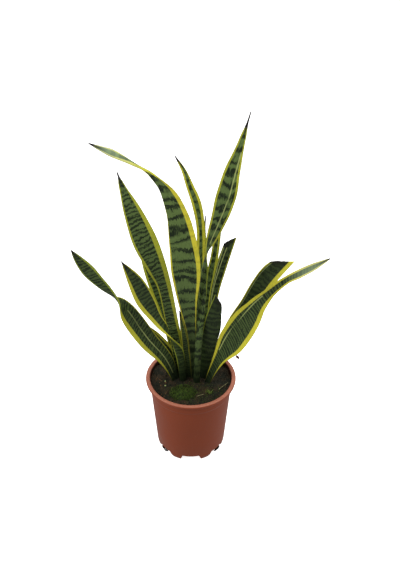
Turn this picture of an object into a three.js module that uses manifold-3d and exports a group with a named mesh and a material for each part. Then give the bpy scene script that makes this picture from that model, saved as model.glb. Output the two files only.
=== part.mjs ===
// A variegated snake plant in a round plastic nursery pot.
//
// Units are millimetres, +Z is up and -Y is the front. Everything is laid out from
// the pot's axis. At the end the whole plant moves a little, so that the origin is
// below the middle of its spread, on the surface that the pot stands on.
//
// The plant is a thick rhizome that lies buried in the potting mix. Every leaf
// is one lofted blade that grows out of the rhizome, so the mix has a socket
// around each leaf and around the rhizome, a hair wider than what sits in it.

import * as THREE from 'three';
import { LoftGeometry } from 'three/addons/geometries/LoftGeometry.js';
import { mergeVertices } from 'three/addons/utils/BufferGeometryUtils.js';
import Module from 'manifold-3d';

const wasm = await Module();
wasm.setup();

// ---------------------------------------------------------------- dimensions

const GAP = 0.35; // between touching pieces, so that no two solids share space

const POT = {
  height: 165,
  rimRadius: 85, // the widest part, over the rolled rim
  rimHeight: 6, // how far the rolled rim hangs down
  collarRadius: 78, // straight band below the rim, where stacked pots stop
  collarDepth: 24, // from the top of the pot to the foot of that band
  collarStep: 0.9,
  wallTopRadius: 76.2,
  wallFootRadius: 66.4,
  footRadius: 61.2, // where the rounded corner meets the surface below
  cornerHeight: 15,
  wall: 1.8,
  floorHeight: 17, // underside of the floor, held up by the feet
  feet: 7,
  slotWidth: 40, // of the gap between two feet, at the surface
  slotTopWidth: 30,
  slotHeight: 15,
  drainRadius: 5.5,
  drainRing: 48, // the drain holes' centres lie on this radius
  segments: 84,
};

const MIX = {
  top: 155, // at the wall
  mound: 3, // how much higher it is in the middle
};

const STEM = {
  radius: 8.6, // of the rhizome that lies in the mix
  z: 123.5, // of its middle
};

// The middle of the whole plant, seen from the pot's axis.
const SPREAD_CENTRE = { x: 16, y: 4 };

const LEAF = {
  rootZ: 133.6, // where the leaves start, just above the rhizome
  thickness: 4.6, // at the midrib near the root
  tipThickness: 1.1,
  edge: 0.42, // the margin's thickness, as a share of the midrib's
  ringsPerStation: 2,
};

// ------------------------------------------------------------------- colours

const finish = (color, roughness) => new THREE.MeshStandardMaterial({ color, roughness, metalness: 0 });

const TERRACOTTA = finish(0x9c4f38, 0.55);
const POTTING_MIX = finish(0x2a2119, 0.95);
const BLADE = finish(0x3f5a34, 0.45);
const RHIZOME = finish(0xb0793a, 0.7);
const MOSS = finish(0x3f5a1c, 0.95);
const SPROUT = finish(0x7f9a4a, 0.7);
const STRAW = finish(0xa79a6b, 0.85);
const WITHERED = finish(0x4a3426, 0.9);

// ------------------------------------------------------------------- helpers

const root = new THREE.Group();

function addPiece(name, geometry, material) {
  const mesh = new THREE.Mesh(geometry, material);
  mesh.name = name;
  root.add(mesh);
  return mesh;
}

// A closed geometry as a manifold-3d solid.
function toSolid(geometry) {
  const bare = geometry.index ? geometry.toNonIndexed() : geometry.clone();
  bare.deleteAttribute('normal');
  bare.deleteAttribute('uv');
  const merged = mergeVertices(bare, 1e-3);
  return new wasm.Manifold(
    new wasm.Mesh({
      numProp: 3,
      vertProperties: merged.attributes.position.array,
      triVerts: new Uint32Array(merged.index.array),
    }),
  );
}

function toGeometry(solid) {
  const mesh = solid.getMesh();
  const geometry = new THREE.BufferGeometry();
  geometry.setAttribute('position', new THREE.BufferAttribute(mesh.vertProperties.slice(0, mesh.numVert * 3), 3));
  geometry.setIndex(new THREE.BufferAttribute(mesh.triVerts, 1));
  return geometry;
}

// A profile of [radius, height] pairs, spun round the pot's axis.
function spin(profile, segments) {
  const points = profile.map(([r, z]) => new THREE.Vector2(r, z));
  return new THREE.LatheGeometry(points, segments).rotateX(Math.PI / 2);
}

// ----------------------------------------------------------------------- pot

function wallRadius(z) {
  const share = (z - POT.cornerHeight) / (POT.height - POT.collarDepth - POT.cornerHeight);
  return POT.wallFootRadius + (POT.wallTopRadius - POT.wallFootRadius) * share;
}

function makePot() {
  const top = POT.height;
  const collarFoot = top - POT.collarDepth;
  const rimFoot = top - POT.rimHeight;
  const inside = (z) => wallRadius(z) - POT.wall;
  const profile = [
    [0, POT.floorHeight],
    [POT.footRadius - 1.2, POT.floorHeight],
    [POT.footRadius - 2.4, POT.floorHeight - 2],
    [POT.footRadius - 3.4, 0],
    [POT.footRadius, 0],
    [POT.footRadius + 2.6, POT.cornerHeight * 0.3],
    [POT.footRadius + 4.2, POT.cornerHeight * 0.63],
    [POT.wallFootRadius, POT.cornerHeight],
    [POT.wallTopRadius, collarFoot - 1.5],
    [POT.wallTopRadius + POT.collarStep, collarFoot],
    [POT.collarRadius, rimFoot - 2],
    [POT.rimRadius - 1.8, rimFoot - 0.6],
    [POT.rimRadius - 0.3, rimFoot + 1.2],
    [POT.rimRadius, top - 3],
    [POT.rimRadius - 0.8, top - 0.9],
    [POT.rimRadius - 2.8, top],
    [POT.rimRadius - 6.2, top - 0.2],
    [POT.rimRadius - 8.2, top - 1.6],
    [POT.collarRadius - POT.wall, rimFoot - 3],
    [inside(collarFoot) + POT.collarStep, collarFoot + 1],
    [inside(collarFoot), collarFoot - 2],
    [inside(POT.cornerHeight + 11), POT.cornerHeight + 11],
    [POT.footRadius + 2.2, POT.floorHeight + POT.wall + 2],
    [POT.footRadius - 1.5, POT.floorHeight + POT.wall],
    [0, POT.floorHeight + POT.wall],
  ];
  let pot = toSolid(spin(profile, POT.segments));
  for (let i = 0; i < POT.feet; i++) {
    const turn = (i / POT.feet) * Math.PI * 2;
    pot = pot.subtract(toSolid(footSlot().rotateZ(turn)));
    pot = pot.subtract(toSolid(drainHole().rotateZ(turn)));
  }
  return toGeometry(pot);
}

// The gap between two feet is a trapezium cut through the skirt, from the front.
function footSlot() {
  const half = POT.slotWidth / 2;
  const topHalf = POT.slotTopWidth / 2;
  const outline = new THREE.Shape();
  outline.moveTo(-half, -1);
  outline.lineTo(half, -1);
  outline.lineTo(topHalf, POT.slotHeight);
  outline.lineTo(-topHalf, POT.slotHeight);
  outline.closePath();
  const depth = 24;
  const slot = new THREE.ExtrudeGeometry(outline, { depth, bevelEnabled: false });
  return slot.rotateX(Math.PI / 2).translate(0, -POT.footRadius + depth - 8, 0);
}

function drainHole() {
  const hole = new THREE.CylinderGeometry(POT.drainRadius, POT.drainRadius, 8, 14);
  return hole.rotateX(Math.PI / 2).translate(0, -POT.drainRing, POT.floorHeight + 1);
}

// -------------------------------------------------------------------- leaves

// Each leaf is a row of stations from root to tip, [x, y, z, width, turn].
// x, y and z are on the midrib. Turn is the way the upper face looks: 0 is the
// front, 90 the plant's right and 180 the back, measured round the midrib.
// channel is how far the blade rolls up at its root and at its tip, in degrees
// to each side of the midrib. fold is where along the leaf it rolls up further,
// by how many degrees and how widely. A cut leaf was cropped, and slant is how
// much further the cut runs along one margin than along the other.

const LEAVES = {
  leaf_tall_right: {
    stations: [
      [11, -12, 133.6, 15, 180],
      [11, -12, 160, 14, 180],
      [13.5, -14, 245, 13, 178],
      [19, -3, 335, 14, 165],
      [22, 3, 395, 17, 135],
      [26, 9, 428, 20, 92],
      [31, 12, 453, 24, 45],
      [44, 18, 490, 28, 12],
      [57, 28, 533, 35, 5],
      [67, 38, 576, 27, 0],
      [80, 47, 620, 13, 0],
      [95, 60, 671, 2, 0],
    ],
    channel: [70, 12],
  },
  leaf_arching: {
    stations: [
      [8, 4, 133.6, 13, 10],
      [8, 4, 160, 13, 10],
      [4, 1, 259, 13, 5],
      [-4, -10, 341, 30, 0],
      [-8, -12, 412, 51, 0],
      [-12, -14, 468, 48, 0],
      [-21, -16, 529, 37, -12],
      [-37, -20, 575, 30, -30],
      [-57, -26, 602, 22, -50],
      [-76, -30, 618, 15, -66],
      [-95, -34, 633, 13, -100],
      [-117, -40, 648, 13, -130],
      [-133, -45, 658, 8, -145],
      [-150, -50, 669, 2, -155],
    ],
    channel: [62, 14],
    fold: [0.67, 36, 0.09],
  },
  leaf_tall_left: {
    stations: [
      [-20, 11, 133.6, 16, 0],
      [-20, 11, 160, 17, 0],
      [-27, 8, 245, 23, 0],
      [-35, 6, 297, 24, 5],
      [-46, 8, 367, 25, 10],
      [-60, 8, 413, 35, 15],
      [-78, 12, 461, 42, 15],
      [-96.5, 18, 514, 30, 15],
      [-110, 23, 552, 13, 15],
      [-119, 28, 581, 2, 15],
    ],
    channel: [62, 12],
  },
  leaf_back_centre: {
    stations: [
      [4, 26, 133.6, 13, 0],
      [5, 28, 160, 13, 0],
      [14, 42, 300, 15, 0],
      [17, 50, 395, 15, 0],
      [17, 57, 456, 15, 5],
      [10, 64, 500, 17, 10],
      [-2, 72, 532, 13, 10],
      [-12, 79, 557, 8, 10],
      [-27, 86, 581, 2, 10],
    ],
    channel: [60, 20],
  },
  leaf_left: {
    stations: [
      [-14, -5, 133.6, 13, 200],
      [-14, -5, 160, 14, 200],
      [-20, -8, 225, 17, 190],
      [-37, -12, 272, 19, 100],
      [-59, -18, 314, 21, 40],
      [-79, -26, 364, 32, 25],
      [-94, -36, 412, 25, 20],
      [-113, -46, 457, 2, 20],
    ],
    channel: [60, 14],
  },
  leaf_far_left: {
    stations: [
      [-28, 1, 133.6, 15, 35],
      [-31, 1, 160, 17, 35],
      [-48, 0, 208, 28, 33],
      [-78, -8, 259, 36, 33],
      [-104, -14, 312, 36, 32],
      [-120, -20, 346, 30, 72],
      [-130, -24, 366, 22, 125],
      [-149, -30, 397, 18, 185],
      [-168, -36, 429, 22, 205],
      [-182, -42, 456, 15, 205],
      [-193, -48, 481, 2, 205],
    ],
    channel: [55, 14],
  },
  leaf_low_left: {
    stations: [
      [-26, 15, 133.6, 14, 30],
      [-29, 15, 160, 15, 30],
      [-42, 10, 212, 23, 28],
      [-64, 5, 253, 22, 25],
      [-84, 0, 282, 14, 25],
      [-109, -6, 316, 2, 25],
    ],
    channel: [55, 14],
  },
  leaf_behind_left: {
    stations: [
      [-24, 28, 133.6, 13, 0],
      [-26, 30, 160, 13, 0],
      [-45, 37, 271, 18, 10],
      [-62, 42, 335, 23, 15],
      [-75, 48, 376, 19, 15],
      [-91, 56, 416, 2, 15],
    ],
    channel: [58, 16],
  },
  leaf_inner_short: {
    stations: [
      [-5, 6, 133.6, 13, 5],
      [-5, 6, 160, 13, 5],
      [-8, 4, 205, 14, 5],
      [-11, 2, 246, 13, 5],
      [-15, 0, 280, 9, 5],
      [-20, 0, 320, 2, 5],
    ],
    channel: [70, 40],
  },
  leaf_behind_right: {
    stations: [
      [21, 26, 133.6, 14, 0],
      [22, 27, 160, 14, 0],
      [28, 36, 247, 18, -5],
      [33, 46, 343, 17, -8],
      [42, 55, 400, 14, -10],
      [47, 61, 445, 12, -10],
      [49, 66, 475, 8, -10],
      [50, 70, 500, 2, -10],
    ],
    channel: [58, 16],
  },
  leaf_hidden_left: {
    stations: [
      [-8, 36, 133.6, 12, 0],
      [-9, 38, 160, 12, 0],
      [-12, 60, 299, 20, 0],
      [-15, 76, 404, 21, 0],
      [-18, 84, 458, 12, 0],
      [-21, 91, 500, 2, 0],
    ],
    channel: [58, 16],
  },
  leaf_hidden_right: {
    stations: [
      [10, 40, 133.6, 12, 0],
      [12, 42, 160, 12, 0],
      [17, 54, 300, 17, 0],
      [20, 66, 388, 15, 0],
      [26, 78, 470, 2, 0],
    ],
    channel: [58, 16],
  },
  leaf_cut_slim: {
    stations: [
      [33, 14, 133.6, 15, -40],
      [34, 14, 162, 16, -40],
      [36, 17, 226, 17, -38],
      [38, 20, 283, 17, -35],
      [42, 24, 339, 18, -30],
      [53, 30, 392, 20, -20],
      [68, 36, 446, 18, -10],
    ],
    channel: [62, 24],
    cut: true,
    slant: 18,
  },
  leaf_cut_short: {
    stations: [
      [23, 3, 133.6, 15, 160],
      [24, 3, 162, 16, 160],
      [29, 0, 219, 24, 170],
      [37, -4, 277, 32, 175],
      [42, -6, 318, 26, 180],
      [48, -9, 352, 16, 180],
    ],
    channel: [60, 18],
    cut: true,
    slant: 20,
  },
  leaf_front_right: {
    stations: [
      [31, -8, 133.6, 11, -30],
      [33, -8, 160, 12, -30],
      [52, -11, 216, 25, -33],
      [75, -18, 266, 52, -35],
      [97, -26, 317, 50, -32],
      [115, -32, 359, 31, -15],
      [136, -36, 391, 20, 0],
      [158, -40, 415, 14, -20],
      [180, -44, 432, 15, -35],
      [202, -48, 449, 12, -35],
      [225, -52, 467, 2, -35],
    ],
    channel: [55, 18],
  },
  leaf_cut_back: {
    stations: [
      [30, 30, 133.6, 13, -20],
      [37, 31, 162, 15, -22],
      [60, 36, 210, 26, -25],
      [85, 42, 259, 33, -25],
      [109, 47, 299, 36, -25],
      [125, 51, 333, 36, -25],
      [143, 56, 361, 36, -25],
      [165, 61, 385, 30, -25],
    ],
    channel: [55, 16],
    cut: true,
    slant: 30,
  },
};

const rad = THREE.MathUtils.degToRad;

// Catmull-Rom interpolation of the stations, whole rows at once.
function stationAt(stations, t) {
  const last = stations.length - 1;
  const place = Math.min(t * last, last - 1e-9);
  const i = Math.floor(place);
  const f = place - i;
  const row = (k) => stations[THREE.MathUtils.clamp(k, 0, last)];
  const [a, b, c, d] = [row(i - 1), row(i), row(i + 1), row(i + 2)];
  return b.map((_, k) => {
    const before = i === 0 ? 2 * b[k] - c[k] : a[k];
    const after = i + 1 === last ? 2 * c[k] - b[k] : d[k];
    const m0 = (c[k] - before) / 2;
    const m1 = (after - b[k]) / 2;
    const rise = c[k] - b[k];
    return b[k] + f * m0 + f * f * (3 * rise - 2 * m0 - m1) + f * f * f * (m0 + m1 - 2 * rise);
  });
}

// The axes of the blade at t: along the midrib, across it, and out of its upper face.
function bladeAxes(stations, t) {
  const step = 0.004;
  const [x0, y0, z0] = stationAt(stations, Math.max(0, t - step));
  const [x1, y1, z1] = stationAt(stations, Math.min(1, t + step));
  const along = new THREE.Vector3(x1 - x0, y1 - y0, z1 - z0).normalize();
  const front = new THREE.Vector3(0, -1, 0).addScaledVector(along, along.y).normalize();
  const side = new THREE.Vector3().crossVectors(along, front);
  const turn = rad(stationAt(stations, t)[4]);
  const face = front.multiplyScalar(Math.cos(turn)).addScaledVector(side, Math.sin(turn));
  const across = new THREE.Vector3().crossVectors(face, along).negate();
  return { along, across, face };
}

// One cross-section: the blade is an arc of a circle, thickest at the midrib.
// grow makes it a little larger all round, for the socket in the potting mix.
function bladeSection(leaf, t, grow) {
  const [x, y, z, width] = stationAt(leaf.stations, t);
  const { along, across, face } = bladeAxes(leaf.stations, t);
  const plain = rad(THREE.MathUtils.lerp(leaf.channel[0], leaf.channel[1], Math.min(1, t * 2.2)));
  const [foldAt, foldBy, foldSpread] = leaf.fold ?? [0.5, 0, 0.1];
  const roll = plain + rad(foldBy) * Math.exp(-(((t - foldAt) / foldSpread) ** 2));
  const taper = leaf.cut ? t * 0.55 : t;
  const middle = THREE.MathUtils.lerp(LEAF.thickness, LEAF.tipThickness, taper ** 0.8);
  const half = Math.max(width, 1.2) / 2;
  const midrib = new THREE.Vector3(x, y, z);
  const sag = (angle) => (half / angle) * (1 - Math.cos(angle));
  const sink = 0.8 * (sag(roll) - sag(plain)); // keeps a folded blade on its midrib
  const slant = (leaf.slant ?? 0) * 0.5 * Math.max(0, (t - 0.8) / 0.2) ** 2;
  const point = (u, sideOfBlade) => {
    const angle = roll * u;
    const radius = half / roll;
    const out = new THREE.Vector3()
      .addScaledVector(across, Math.sin(angle))
      .addScaledVector(face, -Math.cos(angle));
    const thick = middle * (LEAF.edge + (1 - LEAF.edge) * (1 - u * u)) + 2 * grow;
    const shift = Math.abs(u) === 1 && sideOfBlade === 0 ? 0 : (sideOfBlade * thick) / 2;
    const centre = midrib.clone().addScaledVector(face, radius - sink);
    const margin = grow * Math.sign(u) * Math.abs(u);
    return centre
      .addScaledVector(along, slant * u)
      .addScaledVector(out, radius - shift)
      .addScaledVector(across, margin * Math.cos(angle))
      .addScaledVector(face, margin * Math.sin(angle));
  };
  const upper = [-1, -0.55, 0, 0.55, 1].map((u) => point(u, 1));
  const lower = [1, 0.55, 0, -0.55, -1].map((u) => point(u, -1));
  return [...upper, ...lower];
}

function makeLeaf(leaf) {
  const rings = (leaf.stations.length - 1) * LEAF.ringsPerStation;
  const sections = [];
  for (let i = 0; i <= rings; i++) sections.push(bladeSection(leaf, i / rings, 0));
  return new LoftGeometry(sections, { capStart: true, capEnd: true });
}

// The lower part of a leaf, a hair larger all round. Its lowest ring is moved
// down, so that the socket is a little deeper than the leaf.
function makeSocket(leaf) {
  const rings = (leaf.stations.length - 1) * LEAF.ringsPerStation;
  const sections = [];
  for (let i = 0; i <= LEAF.ringsPerStation + 1; i++) sections.push(bladeSection(leaf, i / rings, GAP));
  for (const p of sections[0]) p.z -= 1.5;
  return new LoftGeometry(sections, { capStart: true, capEnd: true });
}

// ------------------------------------------------------- rhizome and mix

// The rhizome creeps from left to right below the leaves, with one branch to
// the back. grow makes it larger, for the hollow that it lies in.
function makeRhizome(grow) {
  const stem = new THREE.CatmullRomCurve3(
    [[-30, 4], [-10, -4], [8, 2], [26, 14], [38, 22]].map(([x, y]) => new THREE.Vector3(x, y, STEM.z)),
  );
  const branch = new THREE.CatmullRomCurve3(
    [[4, 0], [-2, 14], [-4, 26], [6, 38]].map(([x, y]) => new THREE.Vector3(x, y, STEM.z)),
  );
  return toSolid(makeStem(stem, 14, grow)).add(toSolid(makeStem(branch, 10, grow)));
}

// A round stem along a level curve, swollen between the rings where scales sat.
function makeStem(curve, steps, grow) {
  const sections = [];
  for (let i = 0; i <= steps; i++) {
    const t = i / steps;
    const end = i === 0 || i === steps ? 0.55 : 1;
    const radius = (STEM.radius - (i % 2) * 0.7) * end + grow;
    const place = curve.getPointAt(t);
    const along = curve.getTangentAt(t);
    const side = new THREE.Vector3(0, 0, 1).cross(along).normalize();
    if (grow > 0 && end < 1) place.addScaledVector(along, i === 0 ? -grow : grow);
    const ring = [];
    for (let k = 0; k < 12; k++) {
      const angle = (k / 12) * Math.PI * 2;
      ring.push(
        place
          .clone()
          .addScaledVector(side, Math.cos(angle) * radius)
          .add(new THREE.Vector3(0, 0, Math.sin(angle) * radius)),
      );
    }
    sections.push(ring);
  }
  return new LoftGeometry(sections, { capStart: true, capEnd: true });
}

function mixHeight(x, y) {
  const reach = Math.hypot(x, y) / 74;
  return MIX.top + MIX.mound * (1 - reach * reach);
}

// The mix fills the pot up to a low mound, round every root and the rhizome.
function makeMix() {
  const inside = (z) => wallRadius(z) - POT.wall - GAP;
  const bottom = POT.floorHeight + POT.wall + GAP;
  const profile = [
    [0, bottom],
    [POT.footRadius - 2, bottom],
    [POT.footRadius + 1.6, bottom + 2.3],
    [inside(POT.cornerHeight + 11), POT.cornerHeight + 11],
    [inside(POT.height - POT.collarDepth), POT.height - POT.collarDepth - 2],
    [inside(POT.height - POT.collarDepth) + 0.9, POT.height - POT.collarDepth + 2],
    [POT.collarRadius - POT.wall - GAP - 0.3, MIX.top],
  ];
  for (const r of [70, 54, 36, 18]) profile.push([r, mixHeight(r, 0)]);
  profile.push([0, mixHeight(0, 0)]);
  let mix = toSolid(spin(profile, 48));
  mix = mix.subtract(makeRhizome(GAP));
  for (const leaf of Object.values(LEAVES)) mix = mix.subtract(toSolid(makeSocket(leaf)));
  return mix;
}

// ---------------------------------------------------- what lies on the mix

// A low cushion on the mix, cut to the mix's own surface from below.
function makeCushion(x, y, wide, deep, tall, ground, keepClear) {
  const ball = new THREE.SphereGeometry(1, 16, 8).scale(wide / 2, deep / 2, tall + 2);
  let cushion = toSolid(ball.translate(x, y, mixHeight(x, y) - 2));
  for (const solid of [ground, ...keepClear]) cushion = cushion.subtract(solid);
  const pieces = cushion.decompose().sort((a, b) => b.volume() - a.volume());
  return pieces[0];
}

// A thin stalk from one spot to another, both given as [x, y, height over the mix].
function makeStalk(from, to, radius) {
  const [a, b] = [from, to].map(([x, y, h]) => new THREE.Vector3(x, y, mixHeight(x, y) + h));
  const stalk = new THREE.CylinderGeometry(radius * 0.6, radius, a.distanceTo(b), 7);
  const turn = new THREE.Quaternion().setFromUnitVectors(
    new THREE.Vector3(0, 1, 0),
    b.clone().sub(a).normalize(),
  );
  return stalk.applyQuaternion(turn).translate(...a.clone().add(b).multiplyScalar(0.5));
}

function makePebble(x, y, size) {
  const pebble = new THREE.IcosahedronGeometry(size / 2, 1).scale(1, 0.8, 0.7);
  return pebble.rotateZ(x + y).translate(x, y, mixHeight(x, y) + size * 0.35 + 0.6);
}

// A lump of mix that has worked its way out and clings under the top of a slot.
function makeLump(turn, wide, tall) {
  const lump = new THREE.IcosahedronGeometry(0.5, 2).scale(wide, 3.6, tall).rotateZ(turn);
  const height = POT.slotHeight - tall / 2 - GAP;
  return lump.translate(Math.sin(turn) * 63.4, -Math.cos(turn) * 63.4, height);
}

// ------------------------------------------------------------------ assembly

const mix = makeMix();
const ground = mix.translate([0, 0, GAP]);
const sockets = Object.values(LEAVES).map((leaf) => toSolid(makeSocket(leaf)));
const slotTurn = (Math.PI * 2) / POT.feet;

addPiece('pot', makePot(), TERRACOTTA);
addPiece('potting_mix', toGeometry(mix), POTTING_MIX);
addPiece('rhizome', toGeometry(makeRhizome(0)), RHIZOME);
for (const [name, leaf] of Object.entries(LEAVES)) addPiece(name, makeLeaf(leaf), BLADE);

const moss = makeCushion(-17, -39, 36, 36, 2.6, ground, sockets);
const tuft = makeCushion(33, -38, 13, 16, 2.6, ground, sockets);
addPiece('moss', toGeometry(moss), MOSS);
addPiece('seedling_tuft', toGeometry(tuft), SPROUT);
addPiece('straw_long', makeStalk([52, -29, 1.4], [70, -12, 3.6], 0.6), STRAW);
addPiece('straw_short', makeStalk([11, -48, 1.4], [24, -43, 1.8], 0.6), STRAW);
addPiece('perlite_front', makePebble(-48, -20, 3.6), STRAW);
addPiece('perlite_back', makePebble(-48, -8, 3.2), STRAW);
addPiece('lump_left', makeLump(-slotTurn, 19, 7), POTTING_MIX);
addPiece('lump_right', makeLump(slotTurn, 15, 6), POTTING_MIX);
const curl = new THREE.IcosahedronGeometry(0.5, 1).scale(5, 5, 10).rotateY(-0.7);
addPiece('withered_curl', curl.translate(84.2, -33.8, 240.8), WITHERED);

// The frame's origin is below the middle of the whole plant's spread.
root.position.set(-SPREAD_CENTRE.x, -SPREAD_CENTRE.y, 0);

export default root;
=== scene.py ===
# %% [markdown]
# # A potted snake plant
# The plant is a fan of stiff, sword-shaped leaves that grow out of a buried
# rhizome. It stands in a moulded plastic nursery pot that is filled with damp
# peat. The rigid frame gives every piece its place. This script gives the
# leaves, the pot and the peat their fine shape and their finish.

# %% Tools and the frame
import math
import bpy
import numpy as np
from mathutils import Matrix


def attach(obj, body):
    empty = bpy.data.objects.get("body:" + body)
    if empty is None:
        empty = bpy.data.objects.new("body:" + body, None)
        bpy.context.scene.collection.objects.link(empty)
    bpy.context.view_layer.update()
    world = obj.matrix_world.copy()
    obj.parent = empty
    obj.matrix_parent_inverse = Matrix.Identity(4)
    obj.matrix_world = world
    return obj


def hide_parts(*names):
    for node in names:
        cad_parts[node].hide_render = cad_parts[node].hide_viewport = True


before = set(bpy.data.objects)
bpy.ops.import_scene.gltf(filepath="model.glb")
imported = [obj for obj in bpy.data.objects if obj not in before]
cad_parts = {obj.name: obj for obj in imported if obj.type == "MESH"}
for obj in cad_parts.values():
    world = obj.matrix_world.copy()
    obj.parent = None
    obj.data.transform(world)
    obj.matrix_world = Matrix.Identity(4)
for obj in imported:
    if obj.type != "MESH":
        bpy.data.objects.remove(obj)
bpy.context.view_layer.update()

# %% [markdown]
# Lengths below are in millimetres, from the pot's own axis, because that is how
# one would measure a plant with a ruler. The frame's origin is below the middle
# of the whole plant's spread instead, so each point is moved by a fixed step.

# %% From the pot's axis to the frame
POT_AXIS = np.array([-16.0, -4.0, 0.0])


def to_frame(points):
    """Millimetres from the pot's axis become metres in the frame."""
    return (np.asarray(points, dtype=float) + POT_AXIS) / 1000.0


# %% [markdown]
# A mesh is filled from whole arrays. Every shape here is a stack of rings of
# points. One helper joins the rings into quads, another also closes the two
# ends, and a third puts points and faces into a Blender mesh.

# %% Faces
def grid_faces(rows, columns):
    """Quads of a stack of rings: each joins a point, its neighbour in the ring,
    and the two in the next ring. The last column joins the first."""
    r = np.arange(rows - 1)[:, None]
    c = np.arange(columns)[None, :]
    d = (c + 1) % columns
    below, above = [r * columns + c, r * columns + d], [(r + 1) * columns + d, (r + 1) * columns + c]
    return np.stack(below + above, -1).reshape(-1, 4)


def closed_faces(rows, columns, reverse=False):
    """The quads, and at each end a fan of triangles from one further point to the
    ring there. Reverse turns every face over."""
    count, ring = rows * columns, np.arange(columns)
    quads = grid_faces(rows, columns)
    fans = []
    for centre, corners, flip in [(count, ring, not reverse), (count + 1, ring + count - columns, reverse)]:
        after = np.roll(corners, -1)
        pair = (after, corners) if flip else (corners, after)
        fans.append(np.stack([np.full(columns, centre), *pair], -1))
    return [quads[:, ::-1] if reverse else quads, *fans]


# %% Pieces
def add_piece(name, points, face_sets, material, replaces=()):
    """Points in metres and a list of face arrays become one smooth mesh object."""
    mesh = bpy.data.meshes.new(name)
    corners = np.concatenate([f.ravel() for f in face_sets])
    sizes = np.concatenate([np.full(len(f), f.shape[1]) for f in face_sets])
    mesh.vertices.add(len(points))
    mesh.vertices.foreach_set("co", np.asarray(points, dtype=np.float32).ravel())
    mesh.loops.add(len(corners))
    mesh.loops.foreach_set("vertex_index", corners.astype(np.int32))
    mesh.polygons.add(len(sizes))
    mesh.polygons.foreach_set("loop_start", (np.cumsum(sizes) - sizes).astype(np.int32))
    mesh.polygons.foreach_set("use_smooth", np.ones(len(sizes), dtype=bool))
    mesh.update(calc_edges=True)
    mesh.validate()
    mesh.materials.append(material)
    piece = bpy.data.objects.new(name, mesh)
    bpy.context.scene.collection.objects.link(piece)
    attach(piece, "root")
    if replaces:
        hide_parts(*replaces)
    return piece


def add_values(piece, name, values):
    """Stores one number, or three, with each point of the piece."""
    values = np.asarray(values, dtype=np.float32)
    kind = "FLOAT_VECTOR" if values.ndim == 2 else "FLOAT"
    layer = piece.data.attributes.new(name, kind, "POINT")
    layer.data.foreach_set("vector" if values.ndim == 2 else "value", values.ravel())


# %% [markdown]
# Colours are written as they would be picked from a paint card. A shader wants
# linear light, so one function turns them. A second adds a shader node together
# with its settings and its links.

# %% Colours and shader nodes
def linear(hex_colour):
    """An sRGB hex colour as linear red, green, blue and alpha."""
    s = np.array([int(hex_colour[i:i + 2], 16) for i in (1, 3, 5)]) / 255.0
    return (*np.where(s <= 0.04045, s / 12.92, ((s + 0.055) / 1.055) ** 2.4), 1.0)


def set_inputs(tree, node, inputs):
    """Links each input that is given a socket, and sets each given a value."""
    for name, value in inputs.items():
        if isinstance(value, bpy.types.NodeSocket):
            tree.links.new(value, node.inputs[name])
        else:
            node.inputs[name].default_value = value


def add_node(tree, kind, inputs, output=0, **settings):
    """Adds a shader node and gives back one of its outputs. The settings are the
    node's own properties."""
    node = tree.nodes.new("ShaderNode" + kind)
    for name, value in settings.items():
        setattr(node, name, value)
    set_inputs(tree, node, inputs)
    return node.outputs[output]


def new_material(name):
    """An empty material, with its node tree and its main shader."""
    material = bpy.data.materials.new(name)
    material.use_nodes = True
    tree = material.node_tree
    return material, tree, tree.nodes["Principled BSDF"]


# %% [markdown]
# ## The leaf's finish
# A snake plant's leaf is a thick, leathery blade under a thin wax. Its middle is
# grey-green with darker bands across it that break up into short zigzags. Its
# two margins are clear yellow, because they hold no green cells, and now and
# then a pale line runs along inside them. The tip dries to a hard dark spine,
# and so does the edge of a blade that was cropped.
#
# A picture wrapped round the leaf would stretch. Instead each point carries its
# own distances in millimetres, from the margins, along the leaf and from the
# dry end, and the shader reads those, so every line keeps its true width.

# %% Leaf material: what each point knows
blade, tree, shader = new_material("waxy_variegated_blade")
bands, streaks, looks, edges = (
    add_node(tree, "Attribute", {}, "Vector", attribute_name=name)
    for name in ["bands", "streaks", "looks", "edges"]
)
bias, dry, outline, shade = (
    add_node(tree, "Attribute", {}, "Fac", attribute_name=name)
    for name in ["bias", "dry", "outline", "shade"]
)
tone, pale, contrast = (add_node(tree, "SeparateXYZ", {0: looks}, axis) for axis in "XYZ")
from_left, from_right, from_line = (add_node(tree, "SeparateXYZ", {0: edges}, axis) for axis in "XYZ")
along = add_node(tree, "SeparateXYZ", {0: bands}, "Y")

# %% [markdown]
# First the banding. Dark bands cross the leaf every so many millimetres. A slow
# noise bends and thickens them, and a fine one, stretched along the leaf, pulls
# their edges into the sharp little zigzags that give the plant its name. Each
# noise below has its place, its features to one unit there, detail and
# roughness.

# %% Leaf material: bands
slow, jag, patch, lines, fraying, ribs = (
    add_node(tree, "TexNoise", {"Vector": place, "Scale": scale, "Detail": detail, "Roughness": rough})
    for place, scale, detail, rough in [
        (bands, 0.9, 1.0, 0.5), (streaks, 0.6, 2.0, 0.6), (bands, 2.3, 2.0, 0.6),
        (streaks, 1.6, 2.0, 0.5), (streaks, 0.35, 2.0, 0.5), (streaks, 1.1, 2.0, 0.5),
    ]
)
phase = add_node(tree, "Math", {0: slow, 1: 1.5, 2: along}, operation="MULTIPLY_ADD")
phase = add_node(tree, "Math", {0: jag, 1: 0.85, 2: phase}, operation="MULTIPLY_ADD")
turns = add_node(tree, "Math", {0: phase, 1: 2 * math.pi}, operation="MULTIPLY")
finer_turns = add_node(tree, "Math", {0: turns, 1: 3.3}, operation="MULTIPLY")
wide_bands, thin_bands = (add_node(tree, "Math", {0: t}, operation="SINE") for t in [turns, finer_turns])
level = add_node(tree, "Math", {0: thin_bands, 1: 0.12, 2: patch}, operation="MULTIPLY_ADD")
level = add_node(tree, "Math", {0: wide_bands, 1: 0.27, 2: level}, operation="MULTIPLY_ADD")
level = add_node(tree, "Math", {0: level, 1: bias}, operation="ADD")

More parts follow.
